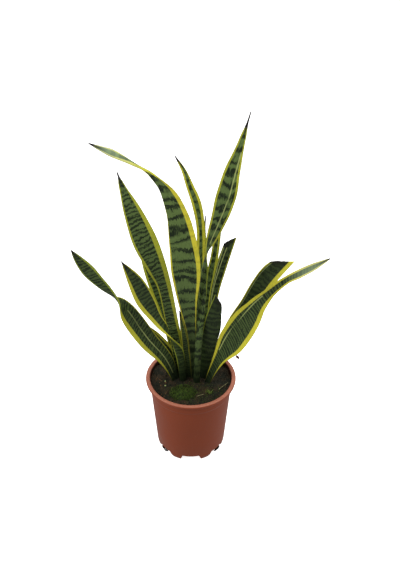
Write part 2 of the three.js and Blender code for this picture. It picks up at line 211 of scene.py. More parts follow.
# %% [markdown]
# Then the distances, each frayed a little by a noise so that no border runs
# dead straight: how far inside the margins a point lies, how far from a pale
# line, how far from the blade's own edge, and how far from the dead end.

# %% Leaf material: frayed distances
fray = add_node(tree, "Math", {0: fraying, 1: 1.6, 2: -0.8}, operation="MULTIPLY_ADD")
inside = add_node(tree, "Math", {0: from_left, 1: from_right}, operation="MINIMUM")
inside = add_node(tree, "Math", {0: inside, 1: fray}, operation="ADD")
beside = add_node(tree, "Math", {0: fray, 1: 0.3, 2: from_line}, operation="MULTIPLY_ADD")
outlined = add_node(tree, "Math", {0: fray, 1: 0.2, 2: outline}, operation="MULTIPLY_ADD")
ragged = add_node(tree, "Math", {0: lines, 1: 3.0}, operation="MULTIPLY")
to_dry = add_node(tree, "Math", {0: dry, 1: ragged}, operation="ADD")

# %% [markdown]
# Each of these is turned into a share by an eased step: what it follows, where
# the step starts and ends, and the share at either side.

# %% Leaf material: shares
shares = {
    name: add_node(
        tree, "MapRange", {0: value, 1: low, 2: high, 3: at_low, 4: at_high}, interpolation_type="SMOOTHSTEP",
    )
    for name, value, low, high, at_low, at_high in [
        ("light_band", level, 0.24, 0.72, 0.0, 1.0),
        ("vein", lines, 0.45, 0.75, 0.0, 0.35),
        ("near_tip", to_dry, 2.0, 24.0, 0.85, 0.0),
        ("inside", inside, -0.9, 0.35, 0.0, 1.0),
        ("beside_line", beside, -0.4, 0.4, 0.2, 1.0),
        ("olive_line", lines, 0.5, 0.8, 0.0, 0.5),
        ("band_in_margin", level, 0.2, 0.5, 0.3, 0.0),
        ("rim", outlined, 0.1, 0.7, 0.4, 0.0),
        # painted shade over the last twelve millimetres before the dry end
        ("painted_tip_shade", to_dry, 0.0, 12.0, 0.45, 0.0),
        ("dead", to_dry, 0.4, 2.4, 1.0, 0.0),
        ("roughness", patch, 0.3, 0.7, 0.42, 0.56),
    ]
}
for name in ["light_band", "band_in_margin"]:
    shares[name] = add_node(tree, "Math", {0: shares[name], 1: contrast}, operation="MULTIPLY")

# %% [markdown]
# Then the colours, laid one over another. Each row turns a colour into a second
# one by a share. The margins fade from yellow to olive where they meet the
# green, carry faint green lines, and end in a hard brownish edge. Some rows
# are painted light: a tip that faces up is painted paler, the last few
# millimetres before the dry end get a painted shade, and down by the peat,
# where the leaves clasp each other, the blade gets a painted shade from the
# leaves around it.

# %% Leaf material: colours
colours = {}
for name, share, first, second in [
    ("green", shares["light_band"], "#131f0b", "#62773f"),
    ("green", shares["vein"], "green", "#30451a"),
    # painted light: the green paled at a tip that faces up
    ("green", pale, "green", "#93a883"),
    ("green", shares["near_tip"], "green", "#0d130a"),
    ("yellow", tone, "#87932b", "#d6cb38"),
    ("yellow", shares["olive_line"], "yellow", "#8c9434"),
    ("yellow", shares["band_in_margin"], "yellow", "#59671f"),
    # painted light: the margins paled at that tip as well
    ("yellow", pale, "yellow", "#d9dcb0"),
    ("green", shares["beside_line"], "#a9b36c", "green"),
    ("leaf", shares["inside"], "yellow", "green"),
    ("leaf", shares["rim"], "leaf", "#4a4a1c"),
    # painted shade before the dry end
    ("leaf", shares["painted_tip_shade"], "leaf", "#2a2f14"),
    # painted shade at the root, where the other leaves shade the blade
    ("leaf", shade, "leaf", "#0c160a"),
    ("leaf", shares["dead"], "leaf", "#100d09"),
]:
    under, over = (colours[c] if c in colours else linear(c) for c in (first, second))
    colours[name] = add_node(tree, "Mix", {0: share, 6: under, 7: over}, 2, data_type="RGBA")

# %% [markdown]
# The wax is smoother on the dark bands than on the light ones. Fine ribs run
# the length of the blade, about one to the millimetre. Wax bends light a little
# less than plastic does, hence the index of 1.4.

# %% Leaf material: wax and ribs
rib_bump = add_node(tree, "Bump", {"Height": ribs, "Strength": 0.35, "Distance": 0.0005})
set_inputs(tree, shader, {
    "Base Color": colours["leaf"], "Roughness": shares["roughness"], "Normal": rib_bump,
    "IOR": 1.4, "Specular IOR Level": 0.3,
})
print("leaf material has", len(tree.nodes), "nodes")

# %% [markdown]
# ## The leaf's shape
# Each leaf was measured at a few stations from root to tip: where its midrib
# is, how wide the blade is, which way its upper face turns, and how wide its
# left and right yellow margins are. A smooth curve runs through the stations.
# The blade is carried along it as a shallow gutter: an arc across, thick at the
# midrib and thin at the margins, closed round both edges. Lofting a profile by
# rule gives a twist that a bent flat sheet would not.

# %% Curve through stations
def through(rows, t):
    """Catmull-Rom curve through the rows. Between two rows it is a cubic whose
    slope at each row is half the step from the row before to the row after."""
    last = len(rows) - 1
    place = np.clip(t, 0.0, 1.0) * last
    i = np.minimum(place.astype(int), last - 1)
    f = (place - i)[:, None]
    padded = np.vstack([2 * rows[0] - rows[1], rows, 2 * rows[-1] - rows[-2]])
    before, here, after, beyond = (padded[i + k] for k in range(4))
    m0, m1, rise = (after - before) / 2, (beyond - here) / 2, after - here
    return here + f * m0 + f**2 * (3 * rise - 2 * m0 - m1) + f**3 * (m0 + m1 - 2 * rise)


def even_steps(rows, spacing):
    """Values of t that lie the same distance apart along the curve."""
    t = np.linspace(0, 1, 900)
    steps = np.linalg.norm(np.diff(through(rows, t)[:, :3], axis=0), axis=1)
    length = np.concatenate([[0], np.cumsum(steps)])
    marks = np.linspace(0, length[-1], max(24, int(length[-1] / spacing)))
    return np.interp(marks, length, t), marks


# %% [markdown]
# A blade also needs to know which way it faces. The midrib gives one direction,
# and the other two are square to it, so the blade can twist but never shears.

# %% Blade axes
def unit(v):
    """The same directions with length one."""
    return v / np.linalg.norm(v, axis=-1, keepdims=True)


def blade_axes(rows, t):
    """Along the midrib, across the blade to its right margin, and out of its
    upper face. The face starts as the front, made square to the midrib, and is
    turned round the midrib by the station's angle."""
    step = 0.004
    start = through(rows, np.clip(t - step, 0, 1))[:, :3]
    end = through(rows, np.clip(t + step, 0, 1))[:, :3]
    along = unit(end - start)
    front = unit(np.array([0.0, -1.0, 0.0]) + along * along[:, 1:2])
    side = np.cross(along, front)
    turn = np.radians(through(rows, t)[:, 4:5])
    face = np.cos(turn) * front + np.sin(turn) * side
    return along, np.cross(along, face), face


# %% [markdown]
# Two small things keep the leaf from looking stamped out. The margins ripple a
# little, each on its own beat, and the thickness thins slowly towards the end.

# %% Leaf surface
BLADE = {"thickness": 4.6, "tip": 1.1, "edge": 0.42, "around": 56, "spacing": 3.0}


def blade_width(station_width, to_tip, spine):
    """The stations' width, drawn in over the last few millimetres to a thin
    round spine that itself tapers to a point."""
    thorn = 1.4 + 2.6 * np.clip(to_tip / spine, 0, 1)
    share = np.clip((to_tip - 0.55 * spine) / (0.95 * spine), 0, 1)
    share = share * share * (3 - 2 * share)
    return thorn + (np.maximum(station_width, thorn) - thorn) * share


def leaf_surface(leaf, seed):
    """Rings of points round the blade. Across the blade u runs from -1 to 1 and
    back as minus the cosine of the angle round the ring. A point is the arc at u
    moved out by half the thickness there, up on the way out, down on the way back.
    A fold rolls the blade up further around one place along it."""
    rows, cut = np.array(leaf["stations"], dtype=float), "slant" in leaf
    t, length = even_steps(rows, BLADE["spacing"])
    station = through(rows, t)
    along, across, face = (a[:, None, :] for a in blade_axes(rows, t))
    angle = np.linspace(0, 2 * np.pi, BLADE["around"], endpoint=False)
    u = -np.cos(angle)[None, :]
    side = np.sign(np.sin(angle))[None, :]
    width = np.maximum(station[:, 3], 1.2)
    if not cut:
        width = blade_width(width, length[-1] - length, max(leaf["dry"], 6))
    width = width[:, None]
    share = np.minimum(1.0, t * 2.2)[:, None]
    first, last = leaf["channel"]
    at, extra, spread = leaf.get("fold", (0.5, 0.0, 0.1))
    roll = np.radians(first + (last - first) * share + extra * np.exp(-((t[:, None] - at) / spread) ** 2))
    taper = (t * 0.55 if cut else t)[:, None] ** 0.8
    middle = BLADE["thickness"] + (BLADE["tip"] - BLADE["thickness"]) * taper
    thick = middle * (BLADE["edge"] + (1 - BLADE["edge"]) * (1 - u**2)) * np.sqrt(1 - np.abs(u) ** 14)
    thick = np.clip(thick, np.minimum(1.3, width) * np.sqrt(1 - u**14), width * 0.9)
    radius = width / 2 / roll
    plain = np.radians(first + (last - first) * share)
    sag = radius * (1 - np.cos(roll)) - width / 2 / plain * (1 - np.cos(plain))
    bend = roll * u
    out = across * np.sin(bend)[..., None] - face * np.cos(bend)[..., None]
    s = length[:, None]
    beat = np.where(u < 0, np.sin(s / (7.5 + seed % 3) + seed), np.sin(s / (8.6 - seed % 2) + 2.1 * seed))
    wave = leaf.get("ripple", 0.7) * np.abs(u) ** 3 * beat * np.minimum(1, width / 30)
    late = np.maximum(0, (t - 0.8) / 0.2)[:, None]
    jagged = 0.5 * np.sin(3.1 * u + seed) + 0.35 * np.sin(9.7 * u + 2 * seed) + 0.2 * np.sin(23 * u)
    lean = (leaf["slant"] * 0.5 * u + 0.9 * jagged) * late**2 if cut else 0 * u
    points = (
        station[:, None, :3]
        + face * (radius - 0.8 * sag + wave)[..., None]
        + out * (radius - side * thick / 2)[..., None]
        + along * lean[..., None]
    )
    spread_out = {"u": u + 0 * s, "s": s + 0 * u, "width": width + 0 * u, "side": side + 0 * s}
    return points, {**spread_out, "lean": lean, "station": station}


# %% [markdown]
# The numbers that the leaf's material reads are worked out on the same grid.

# %% Distances for the shader
def leaf_values(grid, leaf, seed):
    """Edges holds how far a point lies inside the green from the left and from
    the right border, and how far outside the nearest pale line. Bands is the
    place on the leaf counted in band widths, and streaks is the place in
    millimetres, shortened along the leaf. Outline is the distance from the
    blade's own edge. Dry is the distance from the dead tip or cropped edge."""
    u, s, width, station = grid["u"], grid["s"], grid["width"], grid["station"]
    x = u * width / 2
    from_left, from_right = x + width / 2, width / 2 - x
    stripe = np.full_like(u, 50.0)
    whole = s[-1, 0]
    for start, at_start, end, at_end, line in leaf.get("lines", []):
        share = np.clip((s / whole - start) / (end - start), 0, 1)
        off = np.abs((u + 1) / 2 - (at_start + (at_end - at_start) * share)) * width - line / 2
        beyond = np.maximum(start - s / whole, s / whole - end) * whole
        stripe = np.minimum(stripe, np.maximum(off, beyond))
    wide, tall = leaf["bands"]
    tilt = leaf.get("tilt", 0.0)
    tone, contrast, bias = leaf["looks"]
    tip_light_from, tip_light_most = leaf.get("pale", (1.0, 0.0))
    root = np.clip((s - 15) / 70, 0, 1)
    # painted light: the tip paled towards its end, where it faces the light above
    pale = tip_light_most * np.clip((s / whole - tip_light_from) / 0.12, 0, 1)
    return {
        "edges": np.stack([from_left - station[:, 5:6], from_right - station[:, 6:7], stripe], -1),
        "bands": np.stack([x / wide, (s + tilt * x) / tall, np.full_like(u, seed * 7.3)], -1),
        "streaks": np.stack([x, s / 14.0, np.full_like(u, seed * 3.1)], -1),
        # on the underside the margins' yellow is dulled towards olive, a painted shade
        "looks": np.stack([tone - 0.55 * (grid["side"] < 0), pale, contrast * (0.3 + 0.7 * root)], -1),
        "outline": np.minimum(from_left, from_right),
        "dry": whole + grid["lean"] - s - leaf["dry"],
        "bias": 0 * u + bias,
        # shade is a painted shade, darkest at the root and gone dark_root millimetres up
        "shade": 0.85 * (1 - np.clip((s - 24) / leaf.get("dark_root", 75), 0, 1)) ** 1.5,
    }


# %% [markdown]
# A leaf is then one closed mesh. The two points that close its ends take the
# mean of the values round the ring beside them.

# %% Leaf object
def make_leaf(name, leaf, seed):
    """The rings, closed at the root and at the end by a fan to one point."""
    points, grid = leaf_surface(leaf, seed)
    rows, columns = points.shape[:2]
    everything = np.vstack([points.reshape(-1, 3), points[0].mean(axis=0), points[-1].mean(axis=0)])
    faces = closed_faces(rows, columns, reverse=True)
    piece = add_piece(name + "_blade", to_frame(everything), faces, blade, [name])
    for key, values in leaf_values(grid, leaf, seed).items():
        flat = values.reshape(rows * columns, -1)
        flat = np.vstack([flat, flat[:columns].mean(axis=0), flat[-columns:].mean(axis=0)])
        add_values(piece, key, flat if flat.shape[1] == 3 else flat[:, 0])


# %% [markdown]
# ## The leaves, one by one
# A station is x, y, z, the width, the turn in degrees, and the left and right
# yellow margins. Turn 0 faces the front, 90 the plant's right and 180 the back.
# "channel" is how far the blade rolls up at its root and tip, and "fold" where,
# how much and how widely it rolls up more. "dry" is the length of the dead
# spine, or of the dead edge on a cropped blade, which "slant" tilts. "bands" is
# the width and height of one band, and "tilt" how much it slopes. "looks" is how
# yellow the margins are, how strong the bands are, and a shift to more light
# green. "pale" is where the tip is painted paler, a painted light from above, and
# how much. "lines" are pale lines inside the green, each from one place to
# another: share of the length, share of the width, and so on. "ripple" is how
# deep the margins wave, and "dark_root" how far up the painted shade of the other
# leaves reaches.

# %% Tall leaves
LEAVES = {}
LEAVES["leaf_tall_right"] = {
    "stations": [
        [11, -12, 133.6, 15, 180, 0, 0], [11, -12, 160, 14, 180, 0, 0], [13.5, -14, 245, 13, 178, 0, 0],
        [19, -3, 335, 14, 165, 0.5, 1], [22, 3, 395, 17, 135, 2, 3], [26, 9, 428, 20, 92, 3, 4],
        [31, 12, 453, 24, 45, 3, 4], [44, 18, 490, 28, 12, 4, 4], [57, 28, 533, 35, 5, 4, 4],
        [67, 38, 576, 27, 0, 4, 4], [80, 47, 620, 13, 0, 3, 2.5], [95, 60, 671, 2, 0, 1, 1],
    ],
    "channel": (70, 12), "dry": 27, "bands": (14, 20), "looks": (0.4, 0.85, -0.02),
    "lines": [(0.58, 0.5, 0.88, 0.78, 2.0)], "dark_root": 190,
}
LEAVES["leaf_arching"] = {
    "stations": [
        [8, 4, 133.6, 13, 10, 0, 0], [7, 4, 160, 14, 10, 0, 0], [2, 1, 259, 17, 5, 0.8, 0.7],
        [-5, -10, 341, 33, 0, 2.5, 3], [-8, -12, 412, 51, 0, 3.5, 7], [-12, -14, 468, 48, 0, 2, 9],
        [-21, -16, 529, 37, -12, 0.8, 9], [-37, -20, 575, 30, -30, 0.5, 8.5], [-57, -26, 602, 22, -50, 1, 8],
        [-76, -30, 618, 15, -66, 3, 7], [-95, -34, 633, 13, -100, 3.5, 4.5], [-117, -40, 648, 13, -130, 3, 3],
        [-133, -45, 658, 8, -145, 2, 2], [-150, -50, 669, 2, -155, 1, 1],
    ],
    "channel": (62, 14), "fold": (0.67, 36, 0.09), "dry": 9, "bands": (40, 21), "looks": (1.0, 0.95, 0.02),
    "pale": (0.84, 0.6), "ripple": 0.5, "dark_root": 330,
}
LEAVES["leaf_tall_left"] = {
    "stations": [
        [-20, 11, 133.6, 16, 0, 0, 0], [-20, 11, 160, 17, 0, 0, 0], [-27, 8, 245, 23, 0, 1, 4],
        [-35, 6, 297, 24, 5, 1.5, 6], [-46, 8, 367, 25, 10, 2.5, 8], [-60, 8, 413, 35, 15, 4, 9],
        [-78, 12, 461, 42, 15, 4, 9], [-96.5, 18, 514, 30, 15, 3, 6], [-110, 23, 552, 13, 15, 2, 2],
        [-119, 28, 581, 2, 15, 1, 1],
    ],
    "channel": (62, 12), "dry": 13, "bands": (12, 8), "looks": (0.3, 0.75, 0.0),
}
LEAVES["leaf_back_centre"] = {
    "stations": [
        [4, 26, 133.6, 13, 0, 0, 0], [5, 28, 160, 13, 0, 0, 0], [14, 42, 300, 15, 0, 3, 3],
        [17, 50, 395, 15, 0, 4.5, 4], [17, 57, 456, 15, 5, 4.5, 5], [10, 64, 500, 17, 10, 4.5, 5],
        [-2, 72, 532, 13, 10, 3.5, 3.5], [-12, 79, 557, 8, 10, 3, 1], [-27, 86, 581, 2, 10, 1, 1],
    ],
    "channel": (60, 20), "dry": 12, "bands": (10, 14), "looks": (0.6, 0.7, 0.14),
}
print("tall leaves", len(LEAVES))

# %% [markdown]
# The leaves on the left fan out low, and some twist as they go.

# %% Leaves on the left
LEAVES["leaf_left"] = {
    "stations": [
        [-14, -5, 133.6, 13, 200, 0, 0], [-14, -5, 160, 14, 200, 0, 0], [-20, -8, 225, 17, 190, 2, 2],
        [-37, -12, 272, 19, 100, 4, 2], [-59, -18, 314, 21, 40, 7, 2], [-79, -26, 364, 32, 25, 7, 2.5],
        [-94, -36, 412, 25, 20, 5, 2.5], [-113, -46, 457, 2, 20, 1, 1],
    ],
    "channel": (60, 14), "dry": 8, "bands": (14, 9), "looks": (0.6, 0.35, 0.0),
}
LEAVES["leaf_far_left"] = {
    "stations": [
        [-28, 1, 133.6, 15, 35, 0, 0], [-31, 1, 160, 17, 35, 0, 0], [-48, 0, 208, 28, 33, 4, 1],
        [-78, -8, 259, 36, 33, 8, 1.5], [-104, -14, 312, 36, 32, 8, 1.5], [-120, -20, 346, 30, 72, 6, 2],
        [-130, -24, 366, 22, 125, 4, 3], [-149, -30, 397, 18, 185, 3, 2], [-168, -36, 429, 22, 205, 4, 2.5],
        [-182, -42, 456, 15, 205, 3, 2], [-193, -48, 481, 2, 205, 1, 1],
    ],
    "channel": (55, 14), "dry": 7, "bands": (14, 7), "tilt": -0.5, "looks": (0.55, 0.5, 0.0),
    "lines": [(0.1, 0.5, 0.56, 0.6, 2.0)],
}
LEAVES["leaf_low_left"] = {
    "stations": [
        [-26, 15, 133.6, 14, 30, 0, 0], [-29, 15, 160, 15, 30, 0, 0], [-42, 10, 212, 23, 28, 1.5, 4],
        [-64, 5, 253, 22, 25, 1.5, 5], [-84, 0, 282, 14, 25, 1.5, 4], [-109, -6, 316, 2, 25, 1, 1],
    ],
    "channel": (55, 14), "dry": 4, "bands": (12, 6), "looks": (0.6, 0.45, 0.0),
}
LEAVES["leaf_behind_left"] = {
    "stations": [
        [-24, 28, 133.6, 13, 0, 0, 0], [-26, 30, 160, 13, 0, 0, 0], [-45, 37, 271, 18, 10, 4, 3],
        [-62, 42, 335, 23, 15, 5, 3], [-75, 48, 376, 19, 15, 4, 3], [-91, 56, 416, 2, 15, 1, 1],
    ],
    "channel": (58, 16), "dry": 6, "bands": (12, 9), "looks": (0.3, 0.6, 0.0),
}
LEAVES["leaf_inner_short"] = {
    "stations": [
        [-5, 6, 133.6, 13, 5, 0, 0], [-5, 6, 160, 13, 5, 0, 0], [-8, 4, 205, 14, 5, 1.5, 0.8],
        [-11, 2, 246, 13, 5, 2, 1], [-15, 0, 280, 9, 5, 2, 1], [-20, 0, 320, 2, 5, 1, 1],
    ],
    "channel": (70, 40), "dry": 12, "bands": (10, 4.6), "looks": (0.5, 0.6, 0.0),
}
LEAVES["leaf_hidden_left"] = {
    "stations": [
        [-4, 36, 133.6, 14, 0, 0, 0], [-4, 38, 160, 14, 0, 0, 0], [-11, 60, 299, 20, 0, 3, 3],
        [-15, 76, 404, 21, 0, 4, 4], [-18, 84, 458, 12, 0, 3, 3], [-21, 91, 500, 2, 0, 1, 1],
    ],
    "channel": (58, 16), "dry": 8, "bands": (14, 12), "looks": (0.4, 0.6, 0.0),
}
print("leaves so far", len(LEAVES))

# %% [markdown]
# Three blades on the right were cropped, and end in a slanting cut. The one in
# front bends over and runs out to a long point.

# %% Leaves on the right
LEAVES["leaf_behind_right"] = {
    "stations": [
        [21, 26, 133.6, 14, 0, 0, 0], [22, 27, 160, 14, 0, 0, 0], [28, 36, 247, 18, -5, 3, 3],
        [33, 46, 343, 17, -8, 3, 4], [42, 55, 400, 14, -10, 3, 4], [47, 61, 445, 12, -10, 3, 4],
        [49, 66, 475, 8, -10, 2, 2], [50, 70, 500, 2, -10, 1, 1],
    ],
    "channel": (58, 16), "dry": 6, "bands": (10, 14), "looks": (0.3, 0.6, 0.05),
}
LEAVES["leaf_hidden_right"] = {
    "stations": [
        [10, 40, 133.6, 12, 0, 0, 0], [12, 42, 160, 12, 0, 0, 0], [17, 54, 300, 17, 0, 3, 3],
        [20, 66, 388, 15, 0, 3, 3], [26, 78, 470, 2, 0, 1, 1],
    ],
    "channel": (58, 16), "dry": 30, "bands": (12, 12), "looks": (0.4, 0.5, 0.0),
}
LEAVES["leaf_cut_slim"] = {
    "stations": [
        [33, 14, 133.6, 15, -40, 0, 0], [34, 14, 162, 16, -40, 0, 0], [36, 17, 226, 17, -38, 1, 1],
        [38, 20, 283, 17, -35, 2, 2], [42, 24, 339, 18, -30, 2.5, 2.5], [53, 30, 392, 20, -20, 2, 2.5],
        [68, 36, 446, 18, -10, 1.5, 2],
    ],
    "channel": (62, 24), "slant": 18, "dry": 1.2, "bands": (12, 12), "looks": (0.35, 0.4, -0.05),
    "lines": [(0.45, 0.25, 0.96, 0.42, 1.5), (0.5, 0.3, 0.97, 0.12, 1.3)],
}
LEAVES["leaf_cut_short"] = {
    "stations": [
        [23, 3, 133.6, 15, 160, 0, 0], [24, 3, 162, 16, 160, 0, 0], [29, 0, 219, 24, 170, 0, 1.5],
        [37, -4, 277, 32, 175, 0, 2], [42, -6, 318, 26, 180, 0, 2], [48, -9, 352, 16, 180, 0, 1.5],
    ],
    "channel": (60, 18), "slant": 20, "dry": 1.2, "bands": (20, 12), "looks": (0.4, 0.22, -0.05),
}
LEAVES["leaf_front_right"] = {
    "stations": [
        [31, -8, 133.6, 11, -30, 0, 0], [33, -8, 160, 12, -30, 0, 0], [52, -11, 216, 25, -33, 4, 3],
        [75, -18, 266, 52, -35, 7, 8], [97, -26, 317, 50, -32, 7, 9], [115, -32, 359, 31, -15, 6, 7],
        [136, -36, 391, 20, 0, 5, 4], [158, -40, 415, 14, -20, 3.5, 3], [180, -44, 432, 15, -35, 3.5, 3],
        [202, -48, 449, 12, -35, 3, 2.5], [225, -52, 467, 2, -35, 1, 1],
    ],
    "channel": (55, 18), "dry": 4, "bands": (30, 6.2), "tilt": 0.5, "looks": (0.8, 0.55, -0.06),
    "pale": (0.78, 0.45), "lines": [(0.26, 0.22, 0.66, 0.3, 2.0)],
}
LEAVES["leaf_cut_back"] = {
    "stations": [
        [30, 30, 133.6, 13, -20, 0, 0], [37, 31, 162, 15, -22, 0, 0], [60, 36, 210, 26, -25, 3, 3],
        [85, 42, 259, 33, -25, 2, 5], [109, 47, 299, 36, -25, 2, 7], [125, 51, 333, 36, -25, 2, 8],
        [143, 56, 361, 36, -25, 2, 8], [165, 61, 385, 30, -25, 2, 7],
    ],
    "channel": (55, 16), "slant": 30, "dry": 0.8, "bands": (14, 9), "looks": (0.7, 0.2, 0.0),
    "lines": [(0.5, 0.12, 0.98, 0.12, 1.2)],
}
for seed, (leaf_name, leaf) in enumerate(LEAVES.items(), start=1):
    make_leaf(leaf_name, leaf, seed)
print("leaves", len(LEAVES))

# %% [markdown]
# ## The pot
# The pot is injection-moulded polypropylene, coloured through in terracotta. It
# has a rolled rim to carry it by, a straight collar where stacked pots stop, a
# rounded lower corner and seven feet with slots between them. A lathe alone
# would miss the slots, so the profile is spun with a lower edge whose height
# depends on the angle: nought under a foot, and the slot's height between feet.

# %% Pot profile
FEET = 7
SLOT = {"bottom": 20.0, "top": 15.0, "height": 15.0, "measured_at": 62}
FLOOR = {"under": 17.0, "top": 18.8, "rings": [12.0, 30.0, 50.0, 59.0]}
SKIRT = {"radius": 66.4, "drawn_in": 5.2, "corner": 15, "inner": 60.0, "inner_drawn_in": 2.2, "top": 16.6}
ROUNDING = 0.5


def skirt_radius(z):
    """The rounded corner: the wall's radius less a share that grows with the
    square of the depth below the wall's foot."""
    depth = 1 - np.clip(z, 0, SKIRT["corner"]) / SKIRT["corner"]
    return SKIRT["radius"] - SKIRT["drawn_in"] * depth**2


def lower_edge(theta):
    """Height of the skirt's edge: a trapezium over each slot, nought elsewhere."""
    off = (theta + np.pi / FEET) % (2 * np.pi / FEET) - np.pi / FEET
    sideways = np.abs(SLOT["measured_at"] * np.sin(off))
    slope = (SLOT["bottom"] - sideways) / (SLOT["bottom"] - SLOT["top"]) * SLOT["height"]
    return np.clip(slope, 0, SLOT["height"])


# Radius and height, up the outside and over the rim, then down the inside.
OUTSIDE = np.array([
    [66.6, 17.5], [69.3, 52], [72.7, 95], [75.9, 136], [76.15, 139.2], [76.5, 140.2], [77.0, 140.9],
    [77.1, 141.6], [77.5, 149], [77.9, 156.4], [78.3, 157.4], [79.4, 158.1], [82.4, 158.5], [83.8, 159.2],
    [84.7, 160.5], [85.0, 162.0], [84.8, 163.3], [84.2, 164.2], [83.3, 164.8], [82.2, 165.0], [80.4, 165.0],
    [78.6, 164.8], [77.5, 164.2],
])
INSIDE = np.array([
    [76.8, 163.2], [76.4, 161.6], [76.2, 156], [75.4, 142], [74.4, 138], [68.0, 60],
    [66.0, 26], [64.8, 22], [63.4, 20.0], [59.7, 18.8],
])


def pot_rows(theta):
    """One closed profile for every angle, from the middle of the floor's underside
    round the skirt, up the wall, over the rim, and down inside to the floor."""
    edge, under = lower_edge(theta), FLOOR["under"]
    inner_z = under + (edge + ROUNDING - under) * np.linspace(0, 1, 7)[:, None]
    inner_r = SKIRT["inner"] - SKIRT["inner_drawn_in"] * (under - inner_z) / under
    outer_z = edge + ROUNDING + (SKIRT["top"] - edge - ROUNDING) * np.linspace(0, 1, 9)[:, None]
    outer_r = skirt_radius(outer_z)
    foot_r = np.stack([inner_r[-1] + ROUNDING, (inner_r[-1] + outer_r[0]) / 2, outer_r[0] - ROUNDING])
    foot_z = np.vstack([edge, edge, edge])
    floor_r = np.array(FLOOR["rings"])[:, None] + 0 * edge
    wall = np.vstack([OUTSIDE, INSIDE])
    r = np.vstack([floor_r, inner_r, foot_r, outer_r, wall[:, :1] + 0 * edge, floor_r[::-1]])
    floor_z = [under + 0 * floor_r, FLOOR["top"] + 0 * floor_r]
    z = np.vstack([floor_z[0], inner_z, foot_z, outer_z, wall[:, 1:] + 0 * edge, floor_z[1]])
    return r, z


# %% [markdown]
# Moulded polypropylene is coloured right through and has a low sheen. Its colour
# drifts a little where the flow of the plastic slowed. Dust and dried water
# leave pale flecks of about a millimetre. What faces up, the rim above all, is
# painted lighter and pinker, a painted highlight of the light from above, and
# the wall inside is painted dark, a painted shade. The mould's spark-eroded face
# leaves a grain of about a third of a millimetre.

# %% Pot material: moulded terracotta polypropylene
plastic, tree, shader = new_material("moulded_terracotta_polypropylene")
place = add_node(tree, "TexCoord", {}, "Object")
cloud, flecks, grain = (
    add_node(tree, "TexNoise", {"Vector": place, "Scale": scale, "Detail": detail})
    for scale, detail in [(14.0, 3.0), (420.0, 2.0), (2600.0, 1.0)]
)
facing = add_node(tree, "NewGeometry", {}, "Normal")
up = add_node(tree, "SeparateXYZ", {0: facing}, "Z")
painted_inner_shade = add_node(tree, "Attribute", {}, "Fac", attribute_name="painted_inner_shade")
fleck, sheen, painted_top_highlight, inner_shade_depth = (
    add_node(tree, "MapRange", {0: value, 1: low, 2: high, 3: at_low, 4: at_high}, interpolation_type=kind)
    for value, low, high, at_low, at_high, kind in [
        (flecks, 0.68, 0.78, 0.0, 0.35, "LINEAR"),
        (cloud, 0.3, 0.7, 0.4, 0.52, "LINEAR"),
        # painted highlight on what faces up
        (up, 0.2, 0.95, 0.0, 0.5, "SMOOTHSTEP"),
        (cloud, 0.2, 0.5, 0.75, 1.0, "SMOOTHSTEP"),
    ]
)
# painted shade on the wall inside, varied by the cloud
inner_shade_share = add_node(tree, "Math", {0: painted_inner_shade, 1: inner_shade_depth}, operation="MULTIPLY")
colour = linear("#7a3519")
# The last two colours are painted light: a painted highlight on what faces up, and a painted shade inside the
# wall.
for share, over in [(cloud, "#873d20"), (fleck, "#94604a"), (painted_top_highlight, "#b27a66"), (inner_shade_share, "#1c140d")]:
    colour = add_node(tree, "Mix", {0: share, 6: colour, 7: linear(over)}, 2, data_type="RGBA")
grain_bump = add_node(tree, "Bump", {"Height": grain, "Strength": 0.12, "Distance": 0.0002})
set_inputs(tree, shader, {
    "Base Color": colour, "Roughness": sheen, "Normal": grain_bump,
    "IOR": 1.49, "Specular IOR Level": 0.22,
})

# %% [markdown]
# The profile is spun round the axis in sixty steps to the foot, which is fine
# enough to keep the corners of the slots crisp.

# %% Pot object
theta = np.linspace(0, 2 * np.pi, FEET * 60, endpoint=False)
pot_r, pot_z = pot_rows(theta)
rows, columns = pot_r.shape
pot_points = np.stack([pot_r * np.sin(theta), -pot_r * np.cos(theta), pot_z], -1).reshape(-1, 3)
pot_points = np.vstack([pot_points, [0, 0, FLOOR["under"]], [0, 0, FLOOR["top"]]])
pot_faces = closed_faces(rows, columns)
pot_piece = add_piece("nursery_pot", to_frame(pot_points), pot_faces, plastic, ["pot"])
first_inside = rows - len(INSIDE) - len(FLOOR["rings"])
inside = np.repeat(np.arange(rows) >= first_inside, columns)
# painted shade: nine tenths on every ring inside the wall and on the floor
add_values(pot_piece, "painted_inner_shade", np.concatenate([0.9 * inside, [0, 0.9]]))
print("pot", rows, "rings of", columns, "points")

# %% [markdown]
# ## The potting mix
# Damp peat with bark is nearly black, with reddish and straw-coloured crumbs on
# top. Its surface is a height over a disc, from several layers of noise, and
# loose crumbs of a few faces each are strewn over it. Real crumbs by the
# hundred catch the light in a way that a bump map alone does not.

# %% Noise on a grid
def value_noise(x, y, cell, seed):
    """Random heights on a square grid, blended smoothly between its corners."""
    lattice = np.random.default_rng(seed).random((64, 64))
    gx, gy = x / cell, y / cell
    i, j = np.floor(gx).astype(int), np.floor(gy).astype(int)
    fx, fy = gx - i, gy - j
    fx, fy = fx * fx * (3 - 2 * fx), fy * fy * (3 - 2 * fy)
    corner = [[lattice[(i + a) % 64, (j + b) % 64] for b in (0, 1)] for a in (0, 1)]
    low = corner[0][0] * (1 - fy) + corner[0][1] * fy
    high = corner[1][0] * (1 - fy) + corner[1][1] * fy
    return low * (1 - fx) + high * fx - 0.5


def mix_height(x, y):
    """A low mound, plus lumps 14, 6, 2.8 and 1.4 mm across."""
    mound = 155 + 3 * (1 - (x**2 + y**2) / 74**2)
    lumps = 2.6 * value_noise(x, y, 14, 1) + 3.0 * value_noise(x, y, 6, 2)
    return mound + lumps + 2.6 * value_noise(x, y, 2.8, 3) + 1.2 * value_noise(x, y, 1.4, 4)


